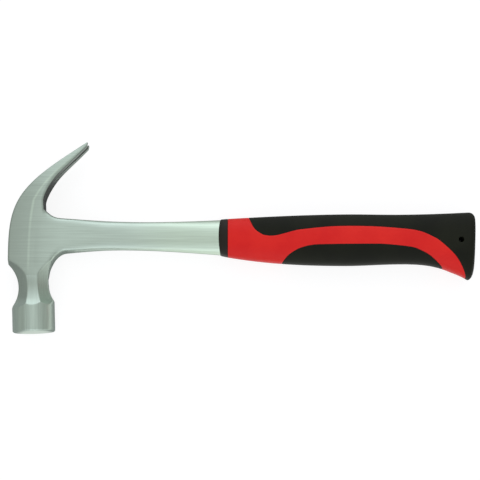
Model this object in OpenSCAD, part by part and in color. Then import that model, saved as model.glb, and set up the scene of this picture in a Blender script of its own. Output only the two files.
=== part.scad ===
// Curved-claw nail hammer lying on its side: one-piece forging with a two-colour moulded grip.
// X runs along the handle from the head to the butt, Y toward the claw, Z up across the thickness.

/* [Head] */
// diameter of the poll
poll_d = 30.3; // [26:0.1:36]
// distance from the handle axis down to the rim of the striking face
face_drop = 68.6; // [60:0.1:80]
// how far the striking face is domed
face_crown = 1; // [0.4:0.1:2]
// bevel round the striking face
face_bevel = 0.8; // [0.5:0.1:2]
// lean of the striking face toward the hand, in degrees
face_lean = 2; // [0:0.5:4]
// width of the eight-sided neck across its flats
neck_w = 21; // [18:0.5:23]
// distance from the handle axis down to the waist of the neck
neck_drop = 36; // [32:0.5:40]
// radius of the wheel that hollows the sides of the neck
wheel_r = 23.5; // [20:0.5:28]
// depth of the cheek along the handle
cheek_l = 28.2; // [24:0.1:32]
// thickness of the cheek
cheek_t = 23.5; // [20:0.5:26]

/* [Claw] */
// reach of the claw tip over the handle, from the back of the head
claw_reach = 55.9; // [45:0.1:66]
// height of the claw tip above the handle axis
claw_rise = 67.2; // [55:0.1:75]
// height of the throat between claw and handle above the handle axis
throat_rise = 24.6; // [22:0.1:28]
// greatest width of the claw
claw_w = 25; // [23:0.5:30]
// width of the claw at its tip
tip_w = 20; // [16:0.5:24]
// thickness of the claw at its tip
tip_t = 3.2; // [1.5:0.1:4]
// width of the nail slot at the tip
slot_w = 8.6; // [6:0.1:11]
// width of the nail slot at its closed end
slot_root_w = 2.4; // [1.5:0.1:4]
// length of the nail slot from the tip
slot_l = 35; // [25:0.5:42]

/* [Shank] */
// height of the shank at its waist
shank_h = 20.2; // [16:0.1:24]
// thickness of the shank at its waist
shank_t = 11.6; // [9:0.1:15]
// length of the fillet from the shank up into the throat of the claw
throat_fillet_l = 11; // [6:0.1:16]
// height of that fillet
throat_fillet_h = 8; // [4:0.1:9]
// length of the fillet from the shank down into the neck
neck_fillet_l = 12; // [8:0.1:18]
// height of that fillet
neck_fillet_h = 17.3; // [10:0.1:20]
// height of the tang inside the grip
tang_h = 15; // [11:0.5:17]
// thickness of the tang inside the grip
tang_t = 7; // [5:0.5:9]
// diameter of the holes through the tang that the grip is moulded into
anchor_d = 6; // [4:0.5:8]
// number of holes through the tang
anchor_n = 3; // [2:1:4]

/* [Grip] */
// length of the whole hammer
overall_l = 332.9; // [300:0.1:380]
// distance from the back of the head to the front of the grip
grip_x = 150; // [130:1:170]
// length of the front collar
collar_l = 6.3; // [4:0.1:10]
// height of the grip at its mouth
mouth_h = 26.1; // [24:0.1:30]
// thickness of the grip at its mouth
mouth_t = 20.6; // [18:0.1:24]
// how far the collar stands proud of the shank all round
collar_lip = 0.5; // [0.3:0.1:1.5]
// height of the grip at the palm
palm_h = 36.9; // [32:0.1:42]
// thickness of the grip at the palm
palm_t = 27.6; // [24:0.1:31]
// height of the grip where it narrows before the butt
waist_h = 35.5; // [31:0.1:40]
// thickness of the grip where it narrows before the butt
waist_t = 26.4; // [23:0.1:30]
// height of the butt
butt_h = 48.9; // [44:0.1:55]
// thickness of the butt
butt_t = 29.2; // [26:0.1:30]
// rounding of the butt end
butt_r = 4.5; // [2:0.1:7]
// lean of the butt end, its lower side toward the head, in degrees
butt_lean = 2.4; // [0:0.1:5]
// length of the rounding of the butt's lower corner
heel_l = 5.5; // [3:0.1:8]
// height of that rounding
heel_h = 8.2; // [4:0.1:11]

/* [Pads] */
// thickness of the soft pads let into the hard core
pad_t = 2.4; // [1.5:0.1:3.5]
// height of the core band left between the pads at the palm
band_h = 12.6; // [8:0.1:18]

/* [Hanging hole] */
// diameter of the hanging hole
hole_d = 4; // [3:0.1:6]
// distance from the butt end to the hole
hole_inset = 11; // [9:0.1:16]
// distance of the hole below the handle axis
hole_drop = 3.7; // [0:0.1:8]
// soft wall left all round the hole inside the butt
hole_wall = 4; // [2:0.1:5]

/* [Hidden] */

// rings of a loft have this many points, and cutters reach this far past what they cut
ring_n = 32;
over = 20;

poll_r = poll_d / 2;
neck_x = cheek_l - neck_w / 2;
shoulder_x = grip_x + collar_l / 2;
core_x = grip_x + collar_l;
hole_x = overall_l - hole_inset;
boss_r = hole_d / 2 + hole_wall;
tang_end = hole_x - boss_r - tang_t;
mid_x = overall_l / 2;
mid_y = (claw_rise - face_drop - face_crown) / 2;
rest_z = max(poll_r, butt_t / 2);

function mix(a, b, s) = a + (b - a) * s;
function ease(s) = let (t = min(1, max(0, s))) t * t * (3 - 2 * t);
function bezier(p, s) =
    let (r = 1 - s)
    r * r * r * p[0] + 3 * r * r * s * p[1] + 3 * r * s * s * p[2] + s * s * s * p[3];
// cubic curve through [x, y, slope] stations
function span(p, x, i = 0) = (i >= len(p) - 2 || x < p[i + 1][0]) ? i : span(p, x, i + 1);
function cubic(a, b, x) =
    let (d = b[0] - a[0], s = min(1, max(0, (x - a[0]) / d)), q = s * s, c = q * s)
    (2 * c - 3 * q + 1) * a[1] + (c - 2 * q + s) * d * a[2] + (3 * q - 2 * c) * b[1] + (c - q) * d * b[2];
function along(p, x) = let (i = span(p, x)) cubic(p[i], p[i + 1], x);
// corner fillet: rises from nothing at its reach to full height at the wall
function fillet(d, reach, rise) =
    d >= reach ? 0 : rise * (1 - sqrt(1 - pow((reach - max(d, 0)) / reach, 2)));
// closed oval ring across the handle; n sets how square it is
function oval(x, top, low, half, n) =
    [for (i = [0:ring_n - 1])
        let (a = 360 * i / ring_n, c = cos(a), s = sin(a), k = 2 / n)
        [x, (top + low) / 2 + (top - low) / 2 * sign(c) * pow(abs(c), k), half * sign(s) * pow(abs(s), k)]];

module loft(rings) {
    n = len(rings[0]);
    m = len(rings);
    polyhedron(
        points = [for (r = rings) each r],
        faces = concat(
            [[for (i = [0:n - 1]) i]],
            [for (j = [0:m - 2], i = [0:n - 1]) [j * n + i, (j + 1) * n + i, j * n + (i + 1) % n]],
            [for (j = [0:m - 2], i = [0:n - 1])
                [j * n + (i + 1) % n, (j + 1) * n + i, (j + 1) * n + (i + 1) % n]],
            [[for (i = [n - 1:-1:0]) (m - 1) * n + i]]),
        convexity = 8);
}

// the head seen from the side: the back runs straight up from the neck, then curls over into the claw
throat = [0.88 * cheek_l, throat_rise];
claw_tip = [claw_reach, claw_rise];
tip_in = claw_tip - [tip_t / 6, tip_t];
curl_y = -0.39 * neck_drop;
outer_curve = [[0, curl_y], [0, claw_rise * 0.376], [claw_reach * 0.11, claw_rise * 0.512], claw_tip];
throat_up = [throat[0], 1.12 * throat_rise];
inner_curve = [throat, throat_up, [claw_reach * 0.517, claw_rise * 0.626], tip_in];
// share of the outer curve that lies beside the cheek, below the throat
claw_start = 0.45;

// half the width of the claw at its ridge, from the throat to the tip
swell = 0.3;
claw_ridge = [[0, cheek_t / 2 + swell, 1], [0.4, claw_w / 2, 0], [1, tip_w / 2, -4]];

// a rib across the head from its outer to its inner edge: rounded back edge, ridge, bevel and inner edge
back_round = 0.8;
back_fall = 0.05;
bevel_fall = 0.15;
function rib(outer, inner, ridge, at, bevel, drop) =
    let (way = inner - outer, l = norm(way), u = way / l, back = ridge - back_fall * at * l,
        c = min(back_round, 0.15 * l), b = min(bevel, 0.2 * l),
        half = [[0, back - c], [0.3 * c, back - 0.3 * c], [c, back], [at * l, ridge],
            [l - b, ridge - bevel_fall], [l, ridge - drop]],
        near = [for (p = half) [outer[0] + u[0] * p[0], outer[1] + u[1] * p[0], p[1]]])
    concat(near, [for (k = [len(near) - 1:-1:0]) [near[k][0], near[k][1], -near[k][2]]]);

// place of the ridge across a rib, and width and drop of the inner bevel, at neck, throat and tip
ridge_at = [0.5, 0.62, 0.7];
bevel_w = [1.4, 1.4, 1.6];
bevel_drop = [0.8, 0.8, 1.4];
foot_y = -neck_drop - 2;
function cheek_rib(s) =
    let (outer = s < 0.5 ? [0, mix(foot_y, curl_y, 2 * s)] : bezier(outer_curve, (2 * s - 1) * claw_start))
    rib(outer, mix([cheek_l, foot_y], throat, s), cheek_t / 2 + swell * s * s * s,
        mix(ridge_at[0], ridge_at[1], s), bevel_w[0], bevel_drop[0]);
function claw_rib(s) =
    rib(bezier(outer_curve, mix(claw_start, 1, s)), bezier(inner_curve, s), along(claw_ridge, s),
        mix(ridge_at[1], ridge_at[2], s), mix(bevel_w[1], bevel_w[2], s),
        mix(bevel_drop[1], bevel_drop[2], s));

cheek_steps = 14;
claw_steps = 26;
module cheek_and_claw() {
    loft(concat(
        [for (k = [0:cheek_steps - 1]) cheek_rib(k / cheek_steps)],
        [for (k = [0:claw_steps]) claw_rib(k / claw_steps)]));
}

// the poll: a round bar with a bevelled rim and a domed face
module poll() {
    crown_r = (poll_r * poll_r + face_crown * face_crown) / (2 * face_crown);
    centre = face_drop - poll_r;
    inside = neck_drop - centre - 1;
    translate([neck_x, -centre, 0])
        rotate([90, 0, face_lean])
            intersection() {
                rotate_extrude($fn = 96)
                    polygon([[0, inside], [poll_r, inside], [poll_r, poll_r - face_bevel],
                        [poll_r - 2 * face_bevel, poll_r + face_bevel],
                        [0, poll_r + face_bevel + face_crown]]);
                translate([0, 0, poll_r + face_crown - crown_r])
                    sphere(r = crown_r, $fn = 192);
            }
}

// the hollow sides of the neck, one wheel cut for each of its eight faces
wheel_lean = 1.8;
corner_cut = 0.5;
throat_wheel = 0.85;
module neck_wheels() {
    for (k = [0:7]) {
        r = k == 0 ? wheel_r * throat_wheel : wheel_r;
        translate([neck_x, -neck_drop, 0])
            rotate([0, 45 * k, 0])
                translate([neck_w / 2 + r - (k % 2) * corner_cut, wheel_lean * cos(45 * k), 0])
                    cylinder(r = r, h = 2 * neck_w, center = true, $fn = 120);
    }
}

// nail slot: a wedge with a round end that narrows toward the head and toward the back of the claw
module nail_slot() {
    lie = claw_tip - bezier(outer_curve, 0.8);
    past = over / 4;
    root = slot_root_w / 2;
    mouth = root + (slot_w / 2 - root) * (slot_l + past) / slot_l;
    function ring(y, w) = concat(
        [for (a = [180:-30:90]) [root * w * cos(a) - slot_l, y, root * w * sin(a)]],
        [[past, y, mouth * w], [past, y, -mouth * w]],
        [for (a = [90:-30:30]) [-root * w * cos(a) - slot_l, y, -root * w * sin(a)]]);
    translate([claw_tip[0], claw_tip[1], 0])
        rotate([0, 0, atan2(lie[1], lie[0])])
            loft([ring(-over, 1.2), ring(over / 2, 0.8)]);
}

// edges of the shank, seen from the side and from above, between the cheek and the grip
mouth_top = 0.465 * mouth_h;
mouth_low = mouth_top - mouth_h;
function shank_x(s) = mix(cheek_l, grip_x, s);
shank_top = [[cheek_l, shank_h * 0.69, -0.3], [shank_x(0.14), shank_h * 0.59, -0.05],
    [shank_x(0.573), shank_h * 0.505, 0], [grip_x, mouth_top - collar_lip, 0.05]];
shank_low = [[cheek_l, -shank_h * 0.65, 0.14], [shank_x(0.18), -shank_h * 0.545, 0.06],
    [shank_x(0.425), -shank_h * 0.49, 0], [grip_x, mouth_low + collar_lip, -0.08]];
root_x = 0.57 * cheek_l;
shank_half = [[root_x, cheek_t / 2 - 0.15, 0.04], [0.78 * cheek_l, cheek_t / 2 + 0.05, 0],
    [1.1 * cheek_l, cheek_t / 2 - 0.5, -0.08], [shank_x(0.548), shank_t / 2, 0],
    [grip_x, mouth_t / 2 - 2 * collar_lip, 0.06]];

// the shank is nearly square in section at the cheek and as oval as the grip at its mouth
cheek_square = 9;
shank_square = 3.2;
grip_square = 2.5;
function shank_shape(x) =
    let (bar = mix(cheek_square, shank_square, ease((x - 0.92 * cheek_l) / (1.6 * cheek_l))))
    mix(bar, grip_square, ease((x - shank_x(0.63)) / (grip_x - shank_x(0.63))));
function shank_ring(x) =
    let (top = along(shank_top, x) + fillet(x - throat[0], throat_fillet_l, throat_fillet_h),
        low = along(shank_low, x) - fillet(x - cheek_l, neck_fillet_l, neck_fillet_h))
    oval(x, top, low, along(shank_half, x), shank_shape(x));

// the shank from inside the cheek to the mouth of the grip, then the tang that the grip is moulded on
bar_x = cheek_l + neck_fillet_l;
bar_steps = 12;
shank_rings = [
    for (s = [0, 0.5]) shank_ring(mix(root_x, throat[0], s)),
    for (a = [0:30:60]) shank_ring(mix(throat[0], cheek_l, 1 - cos(a))),
    for (a = [0:11.25:78.75]) shank_ring(mix(cheek_l, bar_x, 1 - cos(a))),
    for (k = [0:bar_steps - 1]) shank_ring(mix(bar_x, grip_x, k / bar_steps))];
tang_y = (mouth_top + mouth_low) / 2;
function tang_ring(x, size, n) =
    oval(x, tang_y + tang_h / 2 * size, tang_y - tang_h / 2 * size, tang_t / 2 * size, n);
// the tang starts a little before the mouth, steps in at its shoulder and tapers to its end
tang_rings = [shank_ring(grip_x - 3), shank_ring(grip_x), shank_ring(shoulder_x),
    tang_ring(shoulder_x + 2, 1, shank_square), tang_ring(tang_end - 3, 0.9, shank_square),
    tang_ring(tang_end, 0.7, shank_square)];
module anchor_holes() {
    for (k = [1:anchor_n])
        translate([mix(core_x, tang_end, k / (anchor_n + 1)), tang_y, 0])
            cylinder(d = anchor_d, h = over, center = true, $fn = 32);
}
module tang() {
    difference() {
        loft(tang_rings);
        anchor_holes();
    }
}
module shank_and_tang() {
    difference() {
        loft(concat(shank_rings, tang_rings));
        anchor_holes();
    }
}

// edges of the grip, seen from the side and from above
function grip_at(u) = mix(grip_x, overall_l, u);
palm_x = grip_at(0.49);
waist_x = grip_at(0.715);
heel_x = grip_at(0.888);
butt_x = grip_at(0.971);
grip_top = [[grip_x, mouth_top, 0.06], [palm_x, palm_h * 0.427, 0.01], [waist_x, waist_h * 0.438, 0.01],
    [butt_x, butt_h * 0.35, 0.055], [overall_l, butt_h * 0.35, 0]];
grip_low = [[grip_x, mouth_low, -0.19], [palm_x, -palm_h * 0.573, 0], [waist_x, -waist_h * 0.562, 0],
    [heel_x, -butt_h * 0.502, -0.4], [butt_x, -butt_h * 0.634, -0.48], [overall_l, -butt_h * 0.665, 0]];
grip_half = [[grip_x, mouth_t / 2, 0.09], [palm_x, palm_t / 2, 0], [waist_x, waist_t / 2, 0],
    [butt_x, butt_t / 2, 0.02], [overall_l, butt_t / 2, 0]];

// the butt end leans: toward the end, points below the top rounding are pulled in toward the head
lean_x = grip_at(0.94);
function butt_pull(x, y) =
    tan(butt_lean) * ease((x - lean_x) / (overall_l - lean_x)) * (along(grip_top, x) - butt_r - y);
// ring round the grip, let in by a depth; the butt end rounds its top and sides, the heel its lower side
function grip_ring(x, inset, end_round = 0) =
    let (top = along(grip_top, x) - inset - end_round,
        low = along(grip_low, x) + inset + fillet(overall_l - x, heel_l, heel_h),
        half = along(grip_half, x) - inset - end_round)
    [for (p = oval(x, top, low, half, grip_square)) [x - butt_pull(x, p[1]), p[1], p[2]]];

// outside of the whole grip, or the same shape let in by a depth, with a rounded butt end
function grip_rings(inset, steps) =
    let (x1 = overall_l - butt_r, r = max(butt_r - inset, butt_r / 4))
    concat(
        [for (k = [0:steps]) grip_ring(mix(core_x, x1, k / steps), inset)],
        [for (a = [22.5:22.5:90]) grip_ring(x1 + r * sin(a), inset, r * (1 - cos(a)))]);
module grip_form() {
    loft(grip_rings(0, 26));
}
module pad_floor() {
    loft(grip_rings(pad_t, 14));
}

// side view of the soft pads: smooth curves through points at a share of the grip's length,
// with heights counted in halves of the band between the pads
function smooth(p, n) =
    [for (i = [0:len(p) - 2], k = [0:n - 1])
        let (a = p[max(0, i - 1)], b = p[i], c = p[i + 1], d = p[min(len(p) - 1, i + 2)],
            s = k / n, q = s * s)
        0.5 * (2 * b + (c - a) * s + (2 * a - 5 * b + 4 * c - d) * q + (3 * b - a - 3 * c + d) * q * s)];
function edge(points) =
    [for (p = points) let (x = grip_at(p[0]), y = p[1] * band_h / 2) [x - butt_pull(x, y), y]];
back_edge = edge([[0.103, 2.46], [0.135, 0.81], [0.164, 0.1], [0.184, -0.1], [0.223, -0.09], [0.293, 0.44],
    [0.331, 0.62], [0.452, 0.94], [0.595, 0.93], [0.723, 0.66], [0.781, 0.37], [0.827, -0.2], [0.861, -0.82],
    [0.919, -2.46], [0.956, -4.34], [0.969, -5.4], [0.975, -6.3]]);
belly_edge = edge([[0.232, -3.6], [0.266, -2.41], [0.3, -1.73], [0.323, -1.45], [0.354, -1.23],
    [0.401, -1.12], [0.587, -1.06], [0.656, -1.11], [0.746, -1.4], [0.78, -1.73], [0.808, -2.14],
    [0.832, -2.64], [0.865, -3.52], [0.879, -4.05], [0.889, -4.6]]);
module pad_cut(edge, around) {
    difference() {
        translate([0, 0, -over])
            linear_extrude(2 * over)
                polygon(concat(smooth(edge, 4), [edge[len(edge) - 1]], around));
        pad_floor();
    }
}
module back_cut() {
    first = back_edge[0];
    last = back_edge[len(back_edge) - 1];
    far_x = overall_l + over;
    pad_cut(back_edge, [[last[0], -butt_h], [far_x, -butt_h], [far_x, butt_h], [first[0], butt_h]]);
}
module belly_cut() {
    first = belly_edge[0];
    last = belly_edge[len(belly_edge) - 1];
    pad_cut(belly_edge, [[last[0], -butt_h], [first[0], -butt_h]]);
}
module hole_boss(r) {
    translate([hole_x, -hole_drop, -over])
        cylinder(r = r, h = 2 * over, $fn = 64);
}

module placed() {
    translate([-mid_x, -mid_y, rest_z])
        children();
}

module steel_forging() {
    color([0.72, 0.73, 0.72])
        placed()
            difference() {
                union() {
                    poll();
                    cheek_and_claw();
                    shank_and_tang();
                }
                neck_wheels();
                nail_slot();
            }
}

// the collar's thin front edge grips the shank, then it swells to the outline of the grip
module front_collar() {
    edge = 0.3 * collar_lip;
    color([0.12, 0.12, 0.12])
        placed()
            difference() {
                loft([
                    oval(grip_x - edge, along(shank_top, grip_x) + edge, along(shank_low, grip_x) - edge,
                        along(shank_half, grip_x) + edge, grip_square),
                    grip_ring(grip_x + edge, edge),
                    grip_ring(grip_x + 1.5 * collar_lip, 0),
                    grip_ring(core_x, 0)]);
                loft(tang_rings);
            }
}

module grip_core() {
    color([0.8, 0.08, 0.07])
        placed()
            difference() {
                grip_form();
                back_cut();
                belly_cut();
                hole_boss(boss_r);
                tang();
            }
}

module back_pad() {
    color([0.14, 0.15, 0.14])
        placed()
            difference() {
                intersection() {
                    grip_form();
                    union() {
                        back_cut();
                        hole_boss(boss_r);
                    }
                }
                hole_boss(hole_d / 2);
            }
}

module belly_pad() {
    color([0.14, 0.15, 0.14])
        placed()
            intersection() {
                grip_form();
                belly_cut();
            }
}

steel_forging();
front_collar();
grip_core();
back_pad();
belly_pad();
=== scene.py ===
"""Looks of the claw hammer: polished forging, red hard grip core, black soft collar and pads."""
import math

import bmesh
import bpy
import numpy as np
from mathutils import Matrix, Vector
from mathutils.kdtree import KDTree


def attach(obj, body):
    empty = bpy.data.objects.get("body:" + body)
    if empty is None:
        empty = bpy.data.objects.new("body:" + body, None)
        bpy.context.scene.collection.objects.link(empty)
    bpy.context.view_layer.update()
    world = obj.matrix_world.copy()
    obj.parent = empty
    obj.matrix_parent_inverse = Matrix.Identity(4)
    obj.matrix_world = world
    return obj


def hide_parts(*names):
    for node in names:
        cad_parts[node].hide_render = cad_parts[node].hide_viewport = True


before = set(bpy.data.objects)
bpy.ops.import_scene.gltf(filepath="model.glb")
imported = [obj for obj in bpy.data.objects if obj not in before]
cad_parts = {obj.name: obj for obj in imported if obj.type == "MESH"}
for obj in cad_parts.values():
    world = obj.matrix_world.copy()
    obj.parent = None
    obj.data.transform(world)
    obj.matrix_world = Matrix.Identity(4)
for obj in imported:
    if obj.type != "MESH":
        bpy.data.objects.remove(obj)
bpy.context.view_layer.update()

MM = 0.001
ORIGIN = np.array([166.45, -1.2, -15.15])  # the row's origin, in the hammer's own millimetres

# Sizes in millimetres, as in the part's source.
POLL_R, FACE_DROP, FACE_CROWN, FACE_BEVEL, FACE_LEAN = 15.15, 68.6, 1.0, 0.8, math.radians(2.0)
NECK_W, NECK_DROP, WHEEL_R, NECK_LEAN = 21.0, 36.0, 23.5, 1.8
FACETS, RIGHT_WHEEL, CORNER_CUT = 8, 0.85, 0.5
CHEEK_L, CHEEK_T, CHEEK_SWELL = 28.2, 23.5, 0.3
NECK_X = CHEEK_L - NECK_W / 2
CLAW_REACH, CLAW_RISE, CLAW_W, TIP_W, TIP_T = 55.9, 67.2, 25.0, 20.0, 3.2
THROAT_RISE = 24.6
SLOT_W, SLOT_ROOT_W, SLOT_L = 8.6, 2.4, 35.0
SHANK_H, SHANK_T = 20.2, 11.6
OVERALL, GRIP_X, COLLAR_L, COLLAR_LIP = 332.9, 150.0, 6.3, 0.5
CORE_X = GRIP_X + COLLAR_L
MOUTH_H, MOUTH_T = 26.1, 20.6
MOUTH_UP, MOUTH_DOWN = MOUTH_H * 0.465, MOUTH_H * 0.535
PALM_H, PALM_T = 36.9, 27.6
WAIST_H, WAIST_T = 35.5, 26.4
BUTT_H, BUTT_T, BUTT_R, BUTT_LEAN = 48.9, 29.2, 4.5, math.radians(2.4)
HEEL_L, HEEL_H = 5.5, 8.2
HOLE_X, HOLE_Y, HOLE_R = 321.9, -3.7, 2.0
SQUARE, SHANK_SQUARE, CHEEK_SQUARE = 2.5, 3.2, 9.0  # powers of the superellipse sections
THROAT_FILLET, NECK_FILLET = (11.0, 8.0), (12.0, 17.3)  # reach and rise


def at(u):
    """Place along the grip, from 0 at its mouth to 1 at the butt."""
    return GRIP_X + (OVERALL - GRIP_X) * u


def shank_at(u):
    """Place along the shank, from 0 at the cheek to 1 at the grip."""
    return CHEEK_L + (GRIP_X - CHEEK_L) * u


# Stations (x, value, slope) of the grip's upper line, lower line and half thickness.
PALM_X, WAIST_X, HEEL_X, BUTT_X = at(0.49), at(0.715), at(0.888), at(0.971)
TOP = [(GRIP_X, MOUTH_UP, 0.06), (PALM_X, PALM_H * 0.427, 0.01), (WAIST_X, WAIST_H * 0.438, 0.01),
       (BUTT_X, BUTT_H * 0.35, 0.055), (OVERALL, BUTT_H * 0.35, 0)]
LOW = [(GRIP_X, -MOUTH_DOWN, -0.19), (PALM_X, -PALM_H * 0.573, 0), (WAIST_X, -WAIST_H * 0.562, 0),
       (HEEL_X, -BUTT_H * 0.502, -0.40), (BUTT_X, -BUTT_H * 0.634, -0.48), (OVERALL, -BUTT_H * 0.665, 0)]
HALF = [(GRIP_X, MOUTH_T / 2, 0.09), (PALM_X, PALM_T / 2, 0), (WAIST_X, WAIST_T / 2, 0),
        (BUTT_X, BUTT_T / 2, 0.02), (OVERALL, BUTT_T / 2, 0)]

# The same for the shank.
ROOT_X = 0.57 * CHEEK_L
SHANK_TOP = [(CHEEK_L, SHANK_H * 0.69, -0.3), (shank_at(0.14), SHANK_H * 0.59, -0.05),
             (shank_at(0.573), SHANK_H * 0.505, 0), (GRIP_X, MOUTH_UP - COLLAR_LIP, 0.05)]
SHANK_LOW = [(CHEEK_L, -SHANK_H * 0.65, 0.14), (shank_at(0.18), -SHANK_H * 0.545, 0.06),
             (shank_at(0.425), -SHANK_H * 0.49, 0), (GRIP_X, COLLAR_LIP - MOUTH_DOWN, -0.08)]
SHANK_HALF = [(ROOT_X, CHEEK_T / 2 - 0.15, 0.04), (0.78 * CHEEK_L, CHEEK_T / 2 + 0.05, 0),
              (1.1 * CHEEK_L, CHEEK_T / 2 - 0.5, -0.08), (shank_at(0.548), SHANK_T / 2, 0),
              (GRIP_X, MOUTH_T / 2 - 2 * COLLAR_LIP, 0.06)]
SQUARE_FROM, SQUARE_OVER, OVAL_FROM = 0.92 * CHEEK_L, 1.6 * CHEEK_L, shank_at(0.63)

# Outer and inner edge of the claw, each a curve of four control points.
THROAT = np.array([0.88 * CHEEK_L, THROAT_RISE])
CLAW_TIP = np.array([CLAW_REACH, CLAW_RISE])
TIP_IN = np.array([CLAW_REACH - TIP_T / 6, CLAW_RISE - TIP_T])
CURL_Y = -0.39 * NECK_DROP
OUTER = np.array([(0, CURL_Y), (0, CLAW_RISE * 0.376), (CLAW_REACH * 0.11, CLAW_RISE * 0.512), CLAW_TIP])
INNER = np.array([THROAT, THROAT + [0, 0.12 * THROAT_RISE], (CLAW_REACH * 0.517, CLAW_RISE * 0.626), TIP_IN])
CLAW_START = 0.45  # share of the outer edge that belongs to the cheek
TIP_SWELL, SWELL_FROM, SWELL_WAY = 0.75, 0.6, np.array([0.64, -0.77])

# Edge curves of the two pads: share of the grip's length, and height in bands.
BAND = 6.3
BACK_EDGE = [(0.110, 2.46), (0.135, 0.81), (0.164, 0.1), (0.184, -0.1), (0.223, -0.09), (0.293, 0.44),
             (0.331, 0.62), (0.452, 0.94), (0.595, 0.93), (0.723, 0.66), (0.781, 0.37), (0.827, -0.2),
             (0.861, -0.82), (0.919, -2.46), (0.956, -4.34), (0.969, -5.4), (0.975, -6.3)]
BELLY_EDGE = [(0.232, -3.6), (0.266, -2.41), (0.3, -1.73), (0.323, -1.45), (0.354, -1.23), (0.401, -1.12),
              (0.587, -1.06), (0.656, -1.11), (0.746, -1.4), (0.78, -1.73), (0.808, -2.14), (0.832, -2.64),
              (0.865, -3.52), (0.879, -4.05), (0.889, -4.6)]


# Curves.
def mix(a, b, s):
    return a + (b - a) * s


def ease(s):
    s = min(1, max(0, s))
    return s * s * (3 - 2 * s)


def along(table, x):
    """Cubic curve through (x, y, slope) stations."""
    x = np.asarray(x, float)
    t = np.array(table, float)
    i = np.clip(np.searchsorted(t[:, 0], x, side="right") - 1, 0, len(t) - 2)
    a, b = t[i], t[i + 1]
    d = b[..., 0] - a[..., 0]
    s = np.clip((x - a[..., 0]) / d, 0, 1)
    return ((2 * s**3 - 3 * s**2 + 1) * a[..., 1] + (s**3 - 2 * s**2 + s) * d * a[..., 2]
            + (3 * s**2 - 2 * s**3) * b[..., 1] + (s**3 - s**2) * d * b[..., 2])


def bezier(p, s):
    r = 1 - s
    return r**3 * p[0] + 3 * r * r * s * p[1] + 3 * r * s * s * p[2] + s**3 * p[3]


def fillet(d, reach, rise):
    """Height of a quarter ellipse at a distance d from the corner that it fills."""
    d = max(d, 0)
    return 0 if d >= reach else rise * (1 - math.sqrt(1 - ((reach - d) / reach) ** 2))


def smooth(points, n=24):
    """Smooth curve through (x, y) points, n steps to each stretch."""
    p = np.array(points, float)
    out = []
    for i in range(len(p) - 1):
        a, b, c, d = p[max(0, i - 1)], p[i], p[i + 1], p[min(len(p) - 1, i + 2)]
        for s in np.arange(n) / n:
            out.append(0.5 * (2 * b + (c - a) * s + (2 * a - 5 * b + 4 * c - d) * s * s
                              + (3 * b - a - 3 * c + d) * s**3))
    return np.array(out + [p[-1]])


def signed_power(v, k):
    return np.sign(v) * np.abs(v) ** k


# Meshes.
WELD, SPECK = 2e-6, 1e-6  # metres
OFF_AXIS = (0.3, 0.9, 0.2)  # a direction that no cylinder's axis has


def row(p):
    """From the hammer's own millimetres to the row's frame."""
    return (np.asarray(p, float) - ORIGIN) * MM


def new_object(name, verts, faces):
    me = bpy.data.meshes.new(name)
    me.from_pydata(row(verts).tolist(), [], faces)
    bm = bmesh.new()
    bm.from_mesh(me)
    bmesh.ops.remove_doubles(bm, verts=bm.verts, dist=WELD)
    bmesh.ops.dissolve_degenerate(bm, edges=bm.edges, dist=SPECK)
    bm.to_mesh(me)
    bm.free()
    ob = bpy.data.objects.new(name, me)
    bpy.context.scene.collection.objects.link(ob)
    return ob


def modify(ob, kind, **settings):
    mod = ob.modifiers.new(kind.lower(), kind)
    for key, value in settings.items():
        setattr(mod, key, value)


def combine(ob, helper, operation):
    modify(ob, "BOOLEAN", object=helper, operation=operation, solver="EXACT")


def settle(ob, helpers=()):
    """Apply the modifiers of a piece and remove its helper objects."""
    done = bpy.data.meshes.new_from_object(ob.evaluated_get(bpy.context.evaluated_depsgraph_get()))
    ob.modifiers.clear()
    ob.vertex_groups.clear()
    ob.data = done
    for h in helpers:
        bpy.data.objects.remove(h)
    done.polygons.foreach_set("use_smooth", [True] * len(done.polygons))


def dress(ob, material, node):
    ob.data.materials.clear()
    ob.data.materials.append(material)
    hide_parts(node)
    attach(ob, "root")


def grid_faces(rows, cols, start=0, flip=False):
    """Quads of a grid of points that are numbered row by row."""
    corners = [start + r * cols + c for r in range(rows - 1) for c in range(cols - 1)]
    quads = [(k, k + 1, k + cols + 1, k + cols) for k in corners]
    return [q[::-1] for q in quads] if flip else quads


def tube_faces(r, s, n):
    """Quads between two rings of n points, whose numbers are r and s."""
    return [(r * n + c, r * n + (c + 1) % n, s * n + (c + 1) % n, s * n + c) for c in range(n)]


def loft(name, rings):
    """Closed solid through rings that have the same number of points."""
    p = np.array(rings, float)
    m, n = p.shape[:2]
    faces = [f for r in range(m - 1) for f in tube_faces(r, r + 1, n)]
    faces += [tuple(range(n))[::-1], tuple((m - 1) * n + c for c in range(n))]
    ob = new_object(name, p.reshape(-1, 3), faces)
    bm = bmesh.new()
    bm.from_mesh(ob.data)
    bmesh.ops.recalc_face_normals(bm, faces=bm.faces)
    bm.to_mesh(ob.data)
    bm.free()
    return ob


def cylinder(name, centre, axis, r, length, n):
    """Closed cylinder round an axis through a point."""
    axis = np.array(axis, float) / np.linalg.norm(axis)
    side = np.cross(axis, OFF_AXIS)
    side /= np.linalg.norm(side)
    up = np.cross(axis, side)
    a = np.linspace(0, 2 * np.pi, n, endpoint=False)[:, None]
    ring = np.array(centre) + r * (np.cos(a) * side + np.sin(a) * up)
    return loft(name, [ring - axis * length / 2, ring + axis * length / 2])


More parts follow.
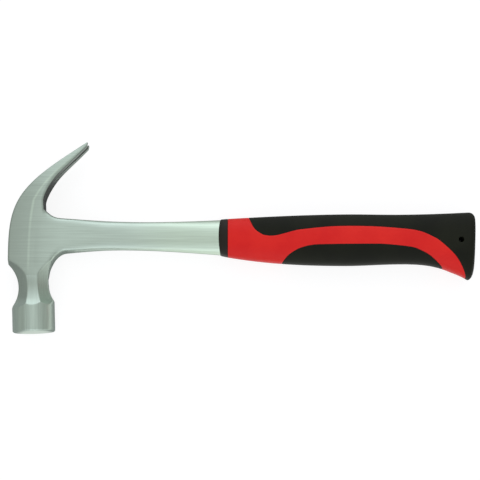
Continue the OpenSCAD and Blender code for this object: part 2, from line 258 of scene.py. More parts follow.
# Forging: ribs from the cheek to the claw's tip, then shank, poll, neck wheels and nail slot.
HEAD_FOOT = -NECK_DROP - 2  # the ribs start a little below the middle of the neck
STRAIGHT = 0.5  # share of the cheek's ribs that start on its straight back
CHEEK_PART, ROOT_PART, TIP_PART = 0.5, 0.62, 0.7  # share of a rib's length where its ridge lies
ROOT_BEVEL, ROOT_DROP, TIP_BEVEL, TIP_DROP = 1.4, 0.8, 1.6, 1.4
EDGE_ROUND, EDGE_MOST, ROUND_MIDDLE = 0.8, 0.15, 0.3
BEVEL_MOST, FLANK_SLOPE, INNER_FALL = 0.2, 0.05, 0.15
CLAW_RIDGE = [(0, CHEEK_T / 2 + CHEEK_SWELL, 1), (0.4, CLAW_W / 2, 0), (1, TIP_W / 2, -4)]
TO_ONE = 27 / 4  # makes the highest point of t * t * (1 - t) equal to 1
CHEEK_RIBS, CLAW_RIBS, SHANK_POINTS, WHEEL_POINTS = 60, 120, 96, 360
FILLET_END, FILLET_RINGS, SHANK_RINGS, INTO_GRIP = 45, 70, 80, 2.0
POLL_POINTS, FACE_RINGS, POLL_LAP, FACE_CENTRE = 160, 14, 1, 0.01
SLOT_LIE, SLOT_PAST = 0.8, 5  # place on the outer edge that the slot lies along, and overrun past the tip
SLOT_RINGS = [(-20, 1.2), (10, 0.8)]  # height over the slot's middle, and widening
VOXEL, SOFTEN, SOFTEN_ROUNDS = 0.32, 0.5, 10


def oval(x, top, low, half, n):
    a = np.linspace(0, 2 * np.pi, SHANK_POINTS, endpoint=False)
    y = (top + low) / 2 + (top - low) / 2 * signed_power(np.cos(a), 2 / n)
    return np.stack([np.full(SHANK_POINTS, x), y, half * signed_power(np.sin(a), 2 / n)], 1)


def rib(o, i, ridge, at_ridge, bevel, drop):
    """Section of the head from its outer edge o to its inner edge i: rounded edge, ridge and inner bevel."""
    d = i - o
    l = np.linalg.norm(d)
    u = d / l
    e = min(EDGE_ROUND, l * EDGE_MOST)
    b = min(bevel, l * BEVEL_MOST)
    back = ridge - FLANK_SLOPE * at_ridge * l
    half = [(0, back - e), (e * ROUND_MIDDLE, back - e * ROUND_MIDDLE), (e, back), (at_ridge * l, ridge),
            (l - b, ridge - INNER_FALL), (l, ridge - drop)]
    near = [(*(o + u * t), z) for t, z in half]
    return near + [(x, y, -z) for x, y, z in near[::-1]]


def inner_edge(s):
    """Inner edge of the claw, which swells a little behind the tip."""
    t = max(0, (s - SWELL_FROM) / (1 - SWELL_FROM))
    return bezier(INNER, s) + TIP_SWELL * TO_ONE * t * t * (1 - t) * SWELL_WAY


def cheek_edges(s):
    o = (np.array([0, mix(HEAD_FOOT, CURL_Y, s / STRAIGHT)]) if s < STRAIGHT
         else bezier(OUTER, (s - STRAIGHT) / (1 - STRAIGHT) * CLAW_START))
    return o, mix(np.array([CHEEK_L, HEAD_FOOT]), THROAT, s)


def claw_edges(s):
    return bezier(OUTER, mix(CLAW_START, 1, s)), inner_edge(s)


def cheek_rib(s):
    return rib(*cheek_edges(s), CHEEK_T / 2 + CHEEK_SWELL * s**3, mix(CHEEK_PART, ROOT_PART, s),
               ROOT_BEVEL, ROOT_DROP)


def claw_rib(s):
    return rib(*claw_edges(s), float(along(CLAW_RIDGE, s)), mix(ROOT_PART, TIP_PART, s),
               mix(ROOT_BEVEL, TIP_BEVEL, s), mix(ROOT_DROP, TIP_DROP, s))


def ridge_line():
    """Points of the ridge in the row's frame, from the neck to the claw's tip."""
    points = [mix(*cheek_edges(s), mix(CHEEK_PART, ROOT_PART, s)) for s in np.linspace(0, 1, 9)]
    points += [mix(*claw_edges(s), mix(ROOT_PART, TIP_PART, s)) for s in np.linspace(0, 1, 13)[1:]]
    return (np.array(points) - ORIGIN[:2]) * MM


def shank_ring(x):
    top = along(SHANK_TOP, x) + fillet(x - THROAT[0], *THROAT_FILLET)
    low = along(SHANK_LOW, x) - fillet(x - CHEEK_L, *NECK_FILLET)
    bar = mix(CHEEK_SQUARE, SHANK_SQUARE, ease((x - SQUARE_FROM) / SQUARE_OVER))
    square = mix(bar, SQUARE, ease((x - OVAL_FROM) / (GRIP_X - OVAL_FROM)))
    return oval(x, top, low, along(SHANK_HALF, x), square)


def shank_object():
    places = np.concatenate([np.linspace(ROOT_X, FILLET_END, FILLET_RINGS),
                             np.linspace(FILLET_END + 1, GRIP_X, SHANK_RINGS), [GRIP_X + INTO_GRIP]])
    return loft("shank", [shank_ring(x) for x in places])


def poll_object():
    """Poll with its bevelled and domed face, which leans a little."""
    centre = FACE_DROP - POLL_R
    crown = (POLL_R**2 + FACE_CROWN**2) / (2 * FACE_CROWN)
    start = NECK_DROP - centre - POLL_LAP
    profile = [(0, start), (POLL_R, start), (POLL_R, POLL_R - FACE_BEVEL)]
    for r in np.linspace(POLL_R - FACE_BEVEL, 0, FACE_RINGS):
        profile.append((r, POLL_R + FACE_CROWN - crown + math.sqrt(crown**2 - r * r)))
    a = np.linspace(0, 2 * np.pi, POLL_POINTS, endpoint=False)
    turn, slip = math.cos(FACE_LEAN), math.sin(FACE_LEAN)
    rings = []
    for r, h in profile:
        r = max(r, FACE_CENTRE)
        x, y, z = r * np.cos(a), np.full(POLL_POINTS, -h), r * np.sin(a)
        rings.append(np.stack([NECK_X + x * turn - y * slip, -centre + x * slip + y * turn, z], 1))
    return loft("poll", rings)


def slot_object():
    """Tapered cutter of the nail slot, with a round root."""
    heel = bezier(OUTER, SLOT_LIE)
    lie = (CLAW_TIP - heel) / np.linalg.norm(CLAW_TIP - heel)
    up = np.array([-lie[1], lie[0]])
    root = SLOT_ROOT_W / 2
    mouth = root + (SLOT_W / 2 - root) * (SLOT_L + SLOT_PAST) / SLOT_L

    def ring(y, w):
        flat = [(root * w * math.cos(a) - SLOT_L, root * w * math.sin(a))
                for a in np.radians(np.arange(180, 89, -10))]
        flat += [(SLOT_PAST, mouth * w), (SLOT_PAST, -mouth * w)]
        flat += [(-root * w * math.cos(a) - SLOT_L, -root * w * math.sin(a))
                 for a in np.radians(np.arange(90, 9, -10))]
        return [(*(CLAW_TIP + lie * p + up * y), z) for p, z in flat]

    return loft("slot", [ring(y, w) for y, w in SLOT_RINGS])


def wheel_objects():
    """The grinding wheels that hollow the neck."""
    wheels = []
    for k in range(FACETS):
        a = math.radians(360 / FACETS * k)
        r = WHEEL_R * (RIGHT_WHEEL if k == 0 else 1)
        reach = NECK_W / 2 + r - (k % 2) * CORNER_CUT
        # a wheel's axis lies level and square to the face that it hollows
        out = np.array([math.cos(a), 0, -math.sin(a)])
        axis = np.array([math.sin(a), 0, math.cos(a)])
        centre = np.array([NECK_X, -NECK_DROP + NECK_LEAN * math.cos(a), 0]) + out * reach
        wheels.append(cylinder("wheel", centre, axis, r, 2 * NECK_W, WHEEL_POINTS))
    return wheels


def forging_object(material):
    ribs = [cheek_rib(k / CHEEK_RIBS) for k in range(CHEEK_RIBS)]
    ribs += [claw_rib(k / CLAW_RIBS) for k in range(CLAW_RIBS + 1)]
    ob = loft("forging", ribs)
    helpers = [shank_object(), poll_object()]
    for h in helpers:
        combine(ob, h, "UNION")
    cutters = wheel_objects() + [slot_object()]
    for h in cutters:
        combine(ob, h, "DIFFERENCE")
    modify(ob, "REMESH", mode="VOXEL", voxel_size=VOXEL * MM, use_smooth_shade=True)
    modify(ob, "SMOOTH", factor=SOFTEN, iterations=SOFTEN_ROUNDS)
    settle(ob, helpers + cutters)
    dress(ob, material, "steel_forging")


# Grip: core, pads and collar are parts of one skin.
LEAN_FROM = at(0.94)
HALVINGS, FEWEST_STATIONS, CROWDING = 60, 16, 2.2
SEAM_WIDTH, SEAM_DEPTH, SEAM_STEP = 0.7, 0.22, 0.25
WALL, TIP_WALL, TIP_TAPER = 1.8, 0.08, 7.0  # thickness, share of it at a tip, and length of the taper
CORE_COLS, BELLY_COLS, BACK_COLS, COLLAR_COLS = 61, 101, 161, 128
FRONT_STEP, CORE_STEP, TAIL_STEP, BELLY_STEP, BACK_STEP = 1.5, 0.8, 0.4, 0.6, 0.5
HEEL_GAP, HEEL_RINGS = 0.1, 6
BUTT_ANGLES, BUTT_SHARES = np.radians(np.arange(9, 91, 9)), (0.8, 0.55, 0.3, 0.1, 0.0)
LINING_WALL, LINING_SHORT, BORE_L, HOLE_POINTS = 1.2, 1.2, 60, 96
FRONT_BOW, BOW_END, MOUTH_Y = 1.2, CORE_X - 2.0, (MOUTH_UP - MOUTH_DOWN) / 2
COLLAR_LINE = [(GRIP_X - 0.3, 4.0), (GRIP_X - 0.3, 0.55), (GRIP_X + 0.1, 0.2), (GRIP_X + 0.7, 0.0),
               (CORE_X - 0.5, 0.0), (CORE_X - 0.15, 0.1), (CORE_X, 0.35), (CORE_X, 3.0)]  # x and inset


def low_line(x):
    """Lower line of the grip, with the rounded heel of the butt."""
    s = np.clip((np.asarray(x, float) - OVERALL + HEEL_L) / HEEL_L, 0, 1)
    return along(LOW, x) + HEEL_H * (1 - np.sqrt(1 - s * s))


def skin(x, phi, inset=0.0, shrink=1.0, end_round=0.0):
    """Point of the grip's outside at x and angle phi, which is 0 on the claw side and pi on the face side."""
    top, low = along(TOP, x) - inset - end_round, low_line(x) + inset
    half = along(HALF, x) - inset - end_round
    y = (top + low) / 2 + (top - low) / 2 * shrink * signed_power(np.cos(phi), 2 / SQUARE)
    z = half * shrink * signed_power(np.sin(phi), 2 / SQUARE)
    return np.stack(np.broadcast_arrays(x, y, z), -1)


def leaned(p):
    """The butt end leans: its lower side is pulled in toward the head."""
    s = np.clip((p[..., 0] - LEAN_FROM) / (OVERALL - LEAN_FROM), 0, 1)
    pull = math.tan(BUTT_LEAN) * s * s * (3 - 2 * s) * (along(TOP, p[..., 0]) - BUTT_R - p[..., 1])
    return p - np.stack([pull, 0 * pull, 0 * pull], -1)


def outward(x, p):
    """Direction out of the grip at a point of its skin."""
    top, low, half = along(TOP, x), low_line(x), along(HALF, x)
    y = (p[..., 1] - (top + low) / 2) / ((top - low) / 2)
    z = p[..., 2] / half
    n = np.stack([np.zeros_like(y), signed_power(y, SQUARE - 1) / (top - low) * 2,
                  signed_power(z, SQUARE - 1) / half], -1)
    return n / np.maximum(np.linalg.norm(n, axis=-1, keepdims=True), 1e-9)


def edge_height(edge, x):
    c = smooth([(at(u), v * BAND) for u, v in edge])
    return np.interp(x, c[:, 0], c[:, 1])


def edge_angle(edge, x):
    """Angle where a pad's edge curve crosses the skin at x."""
    top, low = along(TOP, x), low_line(x)
    v = np.clip((edge_height(edge, x) - (top + low) / 2) / ((top - low) / 2), -1, 1)
    return np.arccos(np.clip(signed_power(v, SQUARE / 2), -1, 1))


def crossing(edge, x0, x1, line):
    """x between x0 and x1 where the edge curve meets the top or bottom line of the grip."""
    side = edge_height(edge, x0) > along(line, x0)
    for _ in range(HALVINGS):
        m = (x0 + x1) / 2
        if (edge_height(edge, m) > along(line, m)) == side:
            x0 = m
        else:
            x1 = m
    return (x0 + x1) / 2


BACK_X0 = crossing(BACK_EDGE, at(0.110), at(0.13), TOP)
BACK_X1 = crossing(BACK_EDGE, at(0.93), at(0.975), LOW)
BELLY_X0 = crossing(BELLY_EDGE, at(0.232), at(0.27), LOW)
BELLY_X1 = crossing(BELLY_EDGE, at(0.84), at(0.889), LOW)
TAIL_X = float(leaned(skin(BACK_X1, np.pi))[0])


def stations(x0, x1, step):
    """Stations from x0 to x1, closer together at both ends."""
    n = max(FEWEST_STATIONS, int(2 * (x1 - x0) / step))
    return x0 + (x1 - x0) * (0.5 - 0.5 * np.cos(np.linspace(0, np.pi, n)))


def edge_columns(n):
    """Spread of columns across a strip, close together near both edges."""
    s = np.linspace(-1, 1, n)
    return np.sign(s) * (1 - (1 - np.abs(s)) ** CROWDING)


def seam_tree():
    """Points along the seams of both pads, on both sides, for finding the nearest."""
    points = []
    for edge, x0, x1 in ((BACK_EDGE, BACK_X0, BACK_X1), (BELLY_EDGE, BELLY_X0, BELLY_X1)):
        x = stations(x0, x1, SEAM_STEP)
        near = skin(x, edge_angle(edge, x))
        points += [*near, *(near * [1, 1, -1])]
    tree = KDTree(len(points))
    for i, p in enumerate(points):
        tree.insert(p, i)
    tree.balance()
    return tree


SEAMS = seam_tree()


def sunk(x, phi):
    """Skin that dips into a fine groove along each seam."""
    p = skin(x, phi)
    far = np.array([SEAMS.find(q)[2] for q in p.reshape(-1, 3)]).reshape(p.shape[:-1])
    drop = SEAM_DEPTH * np.clip(1 - far / SEAM_WIDTH, 0, 1) ** 2
    return p - outward(x, p) * drop[..., None]


def thicken(ob, tips):
    """Give a skin its wall, which thins out toward pointed tips so that it doesn't fold over there."""
    group = ob.vertex_groups.new(name="wall")
    for v in ob.data.vertices:
        x = v.co.x / MM + ORIGIN[0]
        group.add([v.index], min(1.0, min(abs(x - tip) for tip in tips) / TIP_TAPER), "REPLACE")
    modify(ob, "SOLIDIFY", thickness=WALL * MM, offset=-1, vertex_group="wall", thickness_vertex_group=TIP_WALL)


def core_object(material):
    stretches = [(CORE_X, BACK_X0, FRONT_STEP), (BACK_X0, BELLY_X0, CORE_STEP), (BELLY_X0, BELLY_X1, CORE_STEP),
                 (BELLY_X1, BACK_X1, TAIL_STEP)]
    x = np.unique(np.concatenate([stations(*stretch) for stretch in stretches]))
    lo = np.where(x > BACK_X0, edge_angle(BACK_EDGE, x), 0.0)
    hi = np.where((x > BELLY_X0) & (x < BELLY_X1), edge_angle(BELLY_EDGE, x), np.pi)
    phi = lo[:, None] + (hi - lo)[:, None] * (edge_columns(CORE_COLS)[None] + 1) / 2
    p = leaned(sunk(x[:, None], phi))
    verts = np.concatenate([p.reshape(-1, 3), (p * [1, 1, -1]).reshape(-1, 3)])
    faces = grid_faces(len(x), CORE_COLS) + grid_faces(len(x), CORE_COLS, len(x) * CORE_COLS, flip=True)
    ob = new_object("core", verts, faces)
    thicken(ob, [TAIL_X])
    settle(ob)
    dress(ob, material, "grip_core")


def belly_object(material):
    x = stations(BELLY_X0, BELLY_X1, BELLY_STEP)
    a = edge_angle(BELLY_EDGE, x)
    a[0] = a[-1] = np.pi
    p = sunk(x[:, None], np.pi + (np.pi - a)[:, None] * edge_columns(BELLY_COLS)[None])
    ob = new_object("belly", p.reshape(-1, 3), grid_faces(len(x), BELLY_COLS))
    thicken(ob, [BELLY_X0, BELLY_X1])
    settle(ob)
    dress(ob, material, "belly_pad")


def back_object(material):
    """Pad along the back and over the butt, with the lining of the hanging hole."""
    x = np.concatenate([stations(BACK_X0, BACK_X1, BACK_STEP),
                        np.linspace(BACK_X1 + HEEL_GAP, OVERALL - BUTT_R, HEEL_RINGS)])
    a = np.where(x <= BACK_X1, edge_angle(BACK_EDGE, x), np.pi)
    a[0] = 0
    across = edge_columns(BACK_COLS)
    rings = [sunk(x[:, None], a[:, None] * across[None])]
    full = np.pi * across
    for t in BUTT_ANGLES:
        x_ring = OVERALL - BUTT_R + BUTT_R * math.sin(t)
        rings.append(skin(np.full(BACK_COLS, x_ring), full, end_round=BUTT_R * (1 - math.cos(t)))[None])
    for s in BUTT_SHARES:
        rings.append(skin(np.full(BACK_COLS, OVERALL), full, shrink=s, end_round=BUTT_R)[None])
    p = np.concatenate(rings)
    ob = new_object("back", leaned(p).reshape(-1, 3), grid_faces(len(p), BACK_COLS))
    thicken(ob, [BACK_X0, TAIL_X])
    hole = (HOLE_X, HOLE_Y, 0), (0, 0, 1)
    lining = cylinder("lining", *hole, HOLE_R + LINING_WALL, 2 * along(HALF, HOLE_X) - LINING_SHORT, HOLE_POINTS)
    bore = cylinder("bore", *hole, HOLE_R, BORE_L, HOLE_POINTS)
    combine(ob, lining, "UNION")
    combine(ob, bore, "DIFFERENCE")
    settle(ob, [lining, bore])
    dress(ob, material, "back_pad")


def collar_object(material):
    phi = np.linspace(0, 2 * np.pi, COLLAR_COLS, endpoint=False)
    p = np.array([skin(np.full(COLLAR_COLS, x), phi, inset) for x, inset in COLLAR_LINE])
    # on both flat sides the front edge of the collar bows toward the head
    bow = np.clip(((p[..., 1] - MOUTH_Y) / (MOUTH_H / 2)) ** 2, 0, 1)
    reach = np.interp([x for x, _ in COLLAR_LINE], [GRIP_X, BOW_END], [FRONT_BOW, 0.0])
    p[..., 0] += bow * reach[:, None]
    faces = [f for r in range(len(p)) for f in tube_faces(r, (r + 1) % len(p), COLLAR_COLS)]
    ob = new_object("collar", p.reshape(-1, 3), faces)
    settle(ob)
    dress(ob, material, "front_collar")


# Materials.
class Tree:
    """Short way to write a node tree: each call makes a node, sets its values and links its inputs."""

    def __init__(self, owner):
        owner.use_nodes = True
        self.tree = owner.node_tree
        self.tree.nodes.clear()

    def __call__(self, kind, inputs=None, **settings):
        node = self.tree.nodes.new("ShaderNode" + kind)
        for key, value in settings.items():
            setattr(node, key, value)
        for key, value in (inputs or {}).items():
            if isinstance(value, bpy.types.NodeSocket):
                self.tree.links.new(value, node.inputs[key])
            else:
                node.inputs[key].default_value = value
        return node

    def ramp(self, factor, stops, interpolation="LINEAR"):
        node = self("ValToRGB", {"Fac": factor})
        node.color_ramp.interpolation = interpolation
        ends = node.color_ramp.elements
        while len(ends) < len(stops):
            ends.new(0.5)
        for e, (place, colour) in zip(ends, stops):
            e.position = place
            e.color = (*colour, 1)
        return node.outputs[0]

    def remap(self, value, a, b, lo=0.0, hi=1.0, soft=True):
        node = self("MapRange", {"Value": value, "From Min": a, "From Max": b, "To Min": lo, "To Max": hi},
                    interpolation_type="SMOOTHSTEP" if soft else "LINEAR")
        return node.outputs[0]

    def math(self, operation, a, b):
        return self("Math", {0: a, 1: b}, operation=operation).outputs[0]

    def times(self, first, *others):
        for value in others:
            first = self.math("MULTIPLY", first, value)
        return first

    def size(self, value):
        return self.math("ABSOLUTE", value, 0.0)

    def noise(self, vector, scale, detail=3.0, rough=0.5):
        node = self("TexNoise", {"Vector": vector, "Scale": scale, "Detail": detail, "Roughness": rough})
        return node.outputs[0]

    def values(self, factor, a, b):
        return self("Mix", {0: factor, 2: a, 3: b}, data_type="FLOAT").outputs[0]

    def colours(self, factor, a, b):
        return self("Mix", {0: factor, 6: a, 7: b}, data_type="RGBA").outputs[2]


# Where the steel's look changes. A fade goes from none at its first value to full at its second, or between the
# third and the fourth. Places are metres in the row's frame, and the others are parts of a surface's direction.
NECK_TOP, NECK_RIGHT, FLAT = (-0.022, -0.028), (-0.120, -0.130), (0.5, 0.85)
STEEP, RIGHTWARD, DARK_INSIDE_FROM = (0.58, 0.36), (0.15, 0.4), (0.012, 0.020)
DARK_INSIDE_THINS = (0.030, 0.054, 1.0, 0.58)
SLOT_HALF, SLOT_WALL, SLOT_FROM = (0.0068, 0.0056), (0.6, 0.3), (0.034, 0.038)
CLAW_BACKWARD = (-0.64, 0.77, 0)
HEAD_TO_SHANK, POLL_FROM, SHANK_TO_GRIP = (-0.168, -0.128), (-0.040, -0.048), (-0.09, -0.04)
# painted highlight along the ridge: half width of the line, and its fades along y
RIDGE_HALF, RIDGE_PALE = (0.0013, 0.0002), (0.0, 0.025, 0.34, 0.6)
RIDGE_FROM, RIDGE_TO = (-0.028, -0.018), (0.060, 0.046)

# Brush strokes: how fine they are along x, y and z, on the flat sides and on the edges.
UPRIGHT, LEVEL = ((1500, 24, 40), (40, 24, 1500)), ((24, 1500, 40), (24, 40, 1500))
STROKE_DETAIL, STROKE_ROUGH = 4.0, 0.6
STEEL_ROUGH, STEEL_BUMP, STEEL_BUMP_DEPTH = (0.30, 0.46), 0.06, 0.0002
STEEL_CLOUD, DARK_INSIDE_GRAIN = 60.0, 900.0

# Tones, from dark to light.
STROKE_STOPS, GRAIN_STOPS = (0.3, 0.7), (0.35, 0.65)
HEAD_TONES = (0.345, 0.409, 0.345), (0.400, 0.477, 0.403)
SHANK_TONES = (0.462, 0.558, 0.478), (0.582, 0.705, 0.606)
NEAT_TONES = (0.540, 0.658, 0.537), (0.672, 0.82, 0.669)
DARK_INSIDE_TONES = (0.075, 0.082, 0.071), (0.17, 0.184, 0.160)
RED_TONES = (0.78, 0.012, 0.010), (0.86, 0.021, 0.014)
BLACK_TONES = (0.006, 0.0075, 0.003), (0.010, 0.012, 0.005)
COLLAR_TONES = (0.009, 0.007, 0.003), (0.014, 0.011, 0.005)
MOULD_CLOUD, MOULD_VARY, MOULD_BUMP_DEPTH = 45.0, 0.06, 0.0001


def brushed_steel():
    mat = bpy.data.materials.new("polished_steel")
    t = Tree(mat)
    place = t("TexCoord").outputs["Object"]
    xyz = t("SeparateXYZ", {0: place}).outputs
    normal = t("NewGeometry").outputs["Normal"]
    facing = t("SeparateXYZ", {0: normal}).outputs
    upward = t.size(facing["Z"])
    flat_on = t.remap(upward, *FLAT)

    def strokes(fineness):
        edge, across = (t.noise(t("Mapping", {"Vector": place, "Scale": fine}).outputs[0], 1.0, STROKE_DETAIL,
                                STROKE_ROUGH) for fine in fineness[::-1])
        return t.values(flat_on, edge, across)

    # neck and poll are brushed up and down, the rest along the shank's length
    on_neck = t.times(t.remap(xyz["Y"], *NECK_TOP), t.remap(xyz["X"], *NECK_RIGHT))
    lines = t.values(on_neck, strokes(LEVEL), strokes(UPRIGHT))
    cloud = t.noise(place, STEEL_CLOUD)

    # the inside of the claw and the walls of the nail slot are much darker
    inside = t.times(t.remap(upward, *STEEP), t.remap(facing["X"], *RIGHTWARD), t.remap(xyz["Y"], *DARK_INSIDE_THINS))
    off_middle = t.size(t.math("SUBTRACT", xyz["Z"], -ORIGIN[2] * MM))
    rearward = t("VectorMath", {0: normal, 1: CLAW_BACKWARD}, operation="DOT_PRODUCT").outputs["Value"]
    slot = t.times(t.remap(off_middle, *SLOT_HALF), t.remap(t.size(rearward), *SLOT_WALL),
                   t.remap(xyz["Y"], *SLOT_FROM))
    scale = t.times(t.math("MAXIMUM", inside, slot), t.remap(xyz["Y"], *DARK_INSIDE_FROM))

    # painted highlight: a pale line along the ridge of cheek and claw
    points = ridge_line().tolist()
    (x0, y0), (x1, y1) = points[0], points[-1]
    stops = [((y - y0) / (y1 - y0), ((x - x0) / (x1 - x0),) * 3) for x, y in points]
    ridge_share = t.ramp(t.remap(xyz["Y"], y0, y1, soft=False), stops, "B_SPLINE")
    off_ridge = t.size(t.math("SUBTRACT", xyz["X"], t.remap(ridge_share, 0.0, 1.0, x0, x1, soft=False)))
    ridge = t.times(t.remap(off_ridge, *RIDGE_HALF), flat_on, t.remap(xyz["Y"], *RIDGE_PALE),
                    t.remap(xyz["Y"], *RIDGE_FROM), t.remap(xyz["Y"], *RIDGE_TO))

    # the head is ground a little darker than the shank, which is finest next to the grip
    head, shank, neat = (t.ramp(lines, list(zip(STROKE_STOPS, tones)))
                         for tones in (HEAD_TONES, SHANK_TONES, NEAT_TONES))
    lit = t.math("MAXIMUM", t.remap(xyz["X"], *HEAD_TO_SHANK, soft=False), t.remap(xyz["Y"], *POLL_FROM))
    bright = t.colours(lit, head, shank)
    bright = t.colours(t.remap(xyz["X"], *SHANK_TO_GRIP), bright, neat)
    # the painted highlight along the ridge takes the lightest tone
    bright = t.colours(ridge, bright, neat)
    # darker tone of the inside of the claw and the slot walls, with a fine grain
    dull = t.ramp(t.noise(place, DARK_INSIDE_GRAIN), list(zip(GRAIN_STOPS, DARK_INSIDE_TONES)))
    colour = t.colours(scale, bright, dull)

    uneven = t.math("ADD", t.times(lines, 0.5), t.times(cloud, 0.5))
    rough = t.remap(uneven, 0, 1, *STEEL_ROUGH, soft=False)
    bump = t("Bump", {"Strength": STEEL_BUMP, "Distance": STEEL_BUMP_DEPTH, "Height": lines}).outputs[0]
    bsdf = t("BsdfPrincipled", {"Base Color": colour, "Roughness": rough, "Normal": bump, "Metallic": 1.0})
    t("OutputMaterial", {0: bsdf.outputs[0]})
    return mat


def moulded(name, tones, rough, gloss, grain, strength):
    """Moulded plastic with a faint cloud in its colour and a fine grain."""
    mat = bpy.data.materials.new(name)
    t = Tree(mat)
    place = t("TexCoord").outputs["Object"]
    colour = t.ramp(t.noise(place, MOULD_CLOUD, 4.0), list(zip(GRAIN_STOPS, tones)))
    fine = t.noise(place, grain, 2.0)
    vary = t.remap(fine, 0, 1, rough - MOULD_VARY, rough + MOULD_VARY, soft=False)
    bump = t("Bump", {"Strength": strength, "Distance": MOULD_BUMP_DEPTH, "Height": fine}).outputs[0]
    bsdf = t("BsdfPrincipled", {"Base Color": colour, "Roughness": vary, "Normal": bump,
                                "Specular IOR Level": gloss})
    t("OutputMaterial", {0: bsdf.outputs[0]})
    return mat


STEEL = brushed_steel()
RED = moulded("hard_red", RED_TONES, rough=0.46, gloss=0.22, grain=1400.0, strength=0.12)
BLACK = moulded("soft_black", BLACK_TONES, rough=0.58, gloss=0.17, grain=1900.0, strength=0.25)
COLLAR = moulded("collar_black", COLLAR_TONES, rough=0.45, gloss=0.27, grain=1900.0, strength=0.2)
forging_object(STEEL)
core_object(RED)
belly_object(BLACK)
back_object(BLACK)
collar_object(COLLAR)


# Stage, in metres.
WHITE = (1, 1, 1, 1)
FLOOR_HALF, FLOOR_Z = 3.0, -0.0006
FLOOR_GREY, PAPER_GREY, PAPER_GLOW = (0.55, 0.55, 0.55, 1), (0.24, 0.24, 0.24, 1), 0.86
# Fades of the glowing white patches of floor that paint reflections on the steel.
UNDER_SHANK, RIGHT_OF_NECK = (-0.014, -0.022), (-0.126, -0.116)
OVER_POLL, PAST_POLL = (-0.044, -0.036), (-0.095, -0.080)
BEFORE_FACE, FACE_MIDDLE = (-0.062, -0.069), (0.0145, 0.0085)
UNDER_CLAW, RIGHT_OF_CLAW = (0.032, 0.050, 0.0, 0.40), (-0.134, -0.124)
# Grey of the room from the head's end to the butt's end, and light of its two long sides.
ROOM = [(0.0, 0.46), (0.08, 0.50), (0.25, 0.48), (0.5, 0.64), (0.75, 0.53), (0.92, 0.50), (1.0, 0.44)]
BACK_LIGHT, FRONT_LIGHT, SIDE_POWER, SIDE_COLOUR, SIDE_FADE = 0.91, 0.70, 0.8, (0.98, 1.0, 1.16, 1), (0.8, 0.0)
# Soft boxes: name, place, size and radiance.
SOFTBOXES = [("upper_box", (0.0, 1.03, 0.71), (2.0, 0.6), 0.15),
             ("lower_box", (0.0, -1.21, 0.31), (2.0, 0.58), 0.15),
             ("overhead_box", (0.05, 0.22, 1.8), (1.0, 0.8), 0.1)]
DISTANCE, TILT, FIELD, SENSOR = 1.43, math.radians(6.9), 0.3436, 36.0
LOOK_AT = (164.9, -2.5, 0.0)  # in the hammer's own millimetres


def backdrop():
    s = FLOOR_HALF
    mesh = bpy.data.meshes.new("floor")
    mesh.from_pydata([(x, y, FLOOR_Z) for x, y in ((-s, -s), (s, -s), (s, s), (-s, s))], [], [(0, 1, 2, 3)])
    floor = bpy.data.objects.new("floor", mesh)
    bpy.context.scene.collection.objects.link(floor)
    mat = bpy.data.materials.new("floor")
    t = Tree(mat)
    white = t("Emission", {"Color": WHITE, "Strength": 1.0}).outputs[0]
    plain = t("BsdfDiffuse", {"Color": FLOOR_GREY}).outputs[0]
    # the camera sees white paper, which keeps a faint soft shadow
    glow = t("Emission", {"Color": WHITE, "Strength": PAPER_GLOW}).outputs[0]
    sheet = t("BsdfDiffuse", {"Color": PAPER_GREY}).outputs[0]
    paper = t("AddShader", {0: glow, 1: sheet}).outputs[0]
    path = t("LightPath").outputs
    # glowing white patches of floor, seen only by glossy rays, paint a reflection onto the lower edges, but not
    # beside the poll
    place = t("SeparateXYZ", {0: t("NewGeometry").outputs["Position"]}).outputs
    clear = t.math("MAXIMUM", t.remap(place["Y"], *OVER_POLL), t.remap(place["X"], *PAST_POLL))
    below = t.times(t.remap(place["Y"], *UNDER_SHANK), t.remap(place["X"], *RIGHT_OF_NECK), clear)
    # another patch paints one onto the middle of the striking face, and a dim one onto the inside of the claw
    from_middle = t.size(t.math("SUBTRACT", place["X"], (NECK_X - ORIGIN[0]) * MM))
    face = t.times(t.remap(place["Y"], *BEFORE_FACE), t.remap(from_middle, *FACE_MIDDLE))
    claw = t.times(t.remap(place["Y"], *UNDER_CLAW), t.remap(place["X"], *RIGHT_OF_CLAW))
    reflection_patches = t.times(path["Is Glossy Ray"], t.math("MAXIMUM", t.math("MAXIMUM", below, face), claw))
    unseen = t("MixShader", {0: reflection_patches, 1: plain, 2: white}).outputs[0]
    t("OutputMaterial", {0: t("MixShader", {0: path["Is Camera Ray"], 1: unseen, 2: paper}).outputs[0]})
    mesh.materials.append(mat)


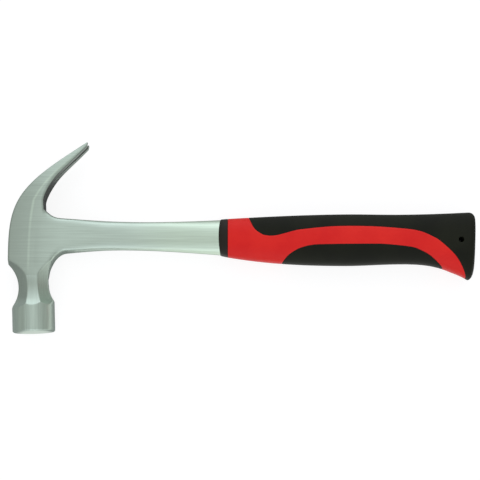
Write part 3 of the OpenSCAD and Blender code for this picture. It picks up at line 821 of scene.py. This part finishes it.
def surroundings():
    world = bpy.data.worlds.new("studio")
    bpy.context.scene.world = world
    t = Tree(world)
    way = t("SeparateXYZ", {0: t("TexCoord").outputs["Generated"]}).outputs
    # the room is dim at its two ends
    end = t.remap(way["X"], -1.0, 1.0, soft=False)
    room = t("Background", {"Color": t.ramp(end, [(place, (grey,) * 3) for place, grey in ROOM])}).outputs[0]

    def side(toward, light):
        return t.times(t.math("POWER", t.math("MAXIMUM", toward, 0.0), SIDE_POWER), light)

    # it is brightest along its two long sides, which fade toward the ends and are a little cooler
    back, front = side(way["Y"], BACK_LIGHT), side(t.times(way["Y"], -1.0), FRONT_LIGHT)
    fade = t.remap(t.size(way["X"]), *SIDE_FADE, soft=False)
    strength = t.times(t.math("ADD", back, front), fade)
    sides = t("Background", {"Color": SIDE_COLOUR, "Strength": strength}).outputs[0]
    room = t("AddShader", {0: room, 1: sides}).outputs[0]
    white = t("Background", {"Color": WHITE}).outputs[0]
    seen = t("LightPath").outputs["Is Camera Ray"]
    t("OutputWorld", {0: t("MixShader", {0: seen, 1: room, 2: white}).outputs[0]})


def softbox(name, place, size, radiance):
    light = bpy.data.lights.new(name, "AREA")
    light.shape = "RECTANGLE"
    light.size, light.size_y = size
    light.energy = radiance * math.pi * size[0] * size[1]
    ob = bpy.data.objects.new(name, light)
    bpy.context.scene.collection.objects.link(ob)
    ob.location = place
    ob.rotation_euler = (-Vector(place)).to_track_quat("-Z", "Y").to_euler()


def camera():
    lens = bpy.data.cameras.new("camera")
    cam = bpy.data.objects.new("camera", lens)
    bpy.context.scene.collection.objects.link(cam)
    lens.sensor_width = SENSOR
    lens.lens = SENSOR * DISTANCE / FIELD
    cam.location = Vector(row(LOOK_AT)) + DISTANCE * Vector((0, -math.sin(TILT), math.cos(TILT)))
    cam.rotation_euler = (TILT, 0, 0)
    bpy.context.scene.camera = cam


backdrop()
surroundings()
for box in SOFTBOXES:
    softbox(*box)
camera()
bpy.context.scene.view_settings.view_transform = "Standard"
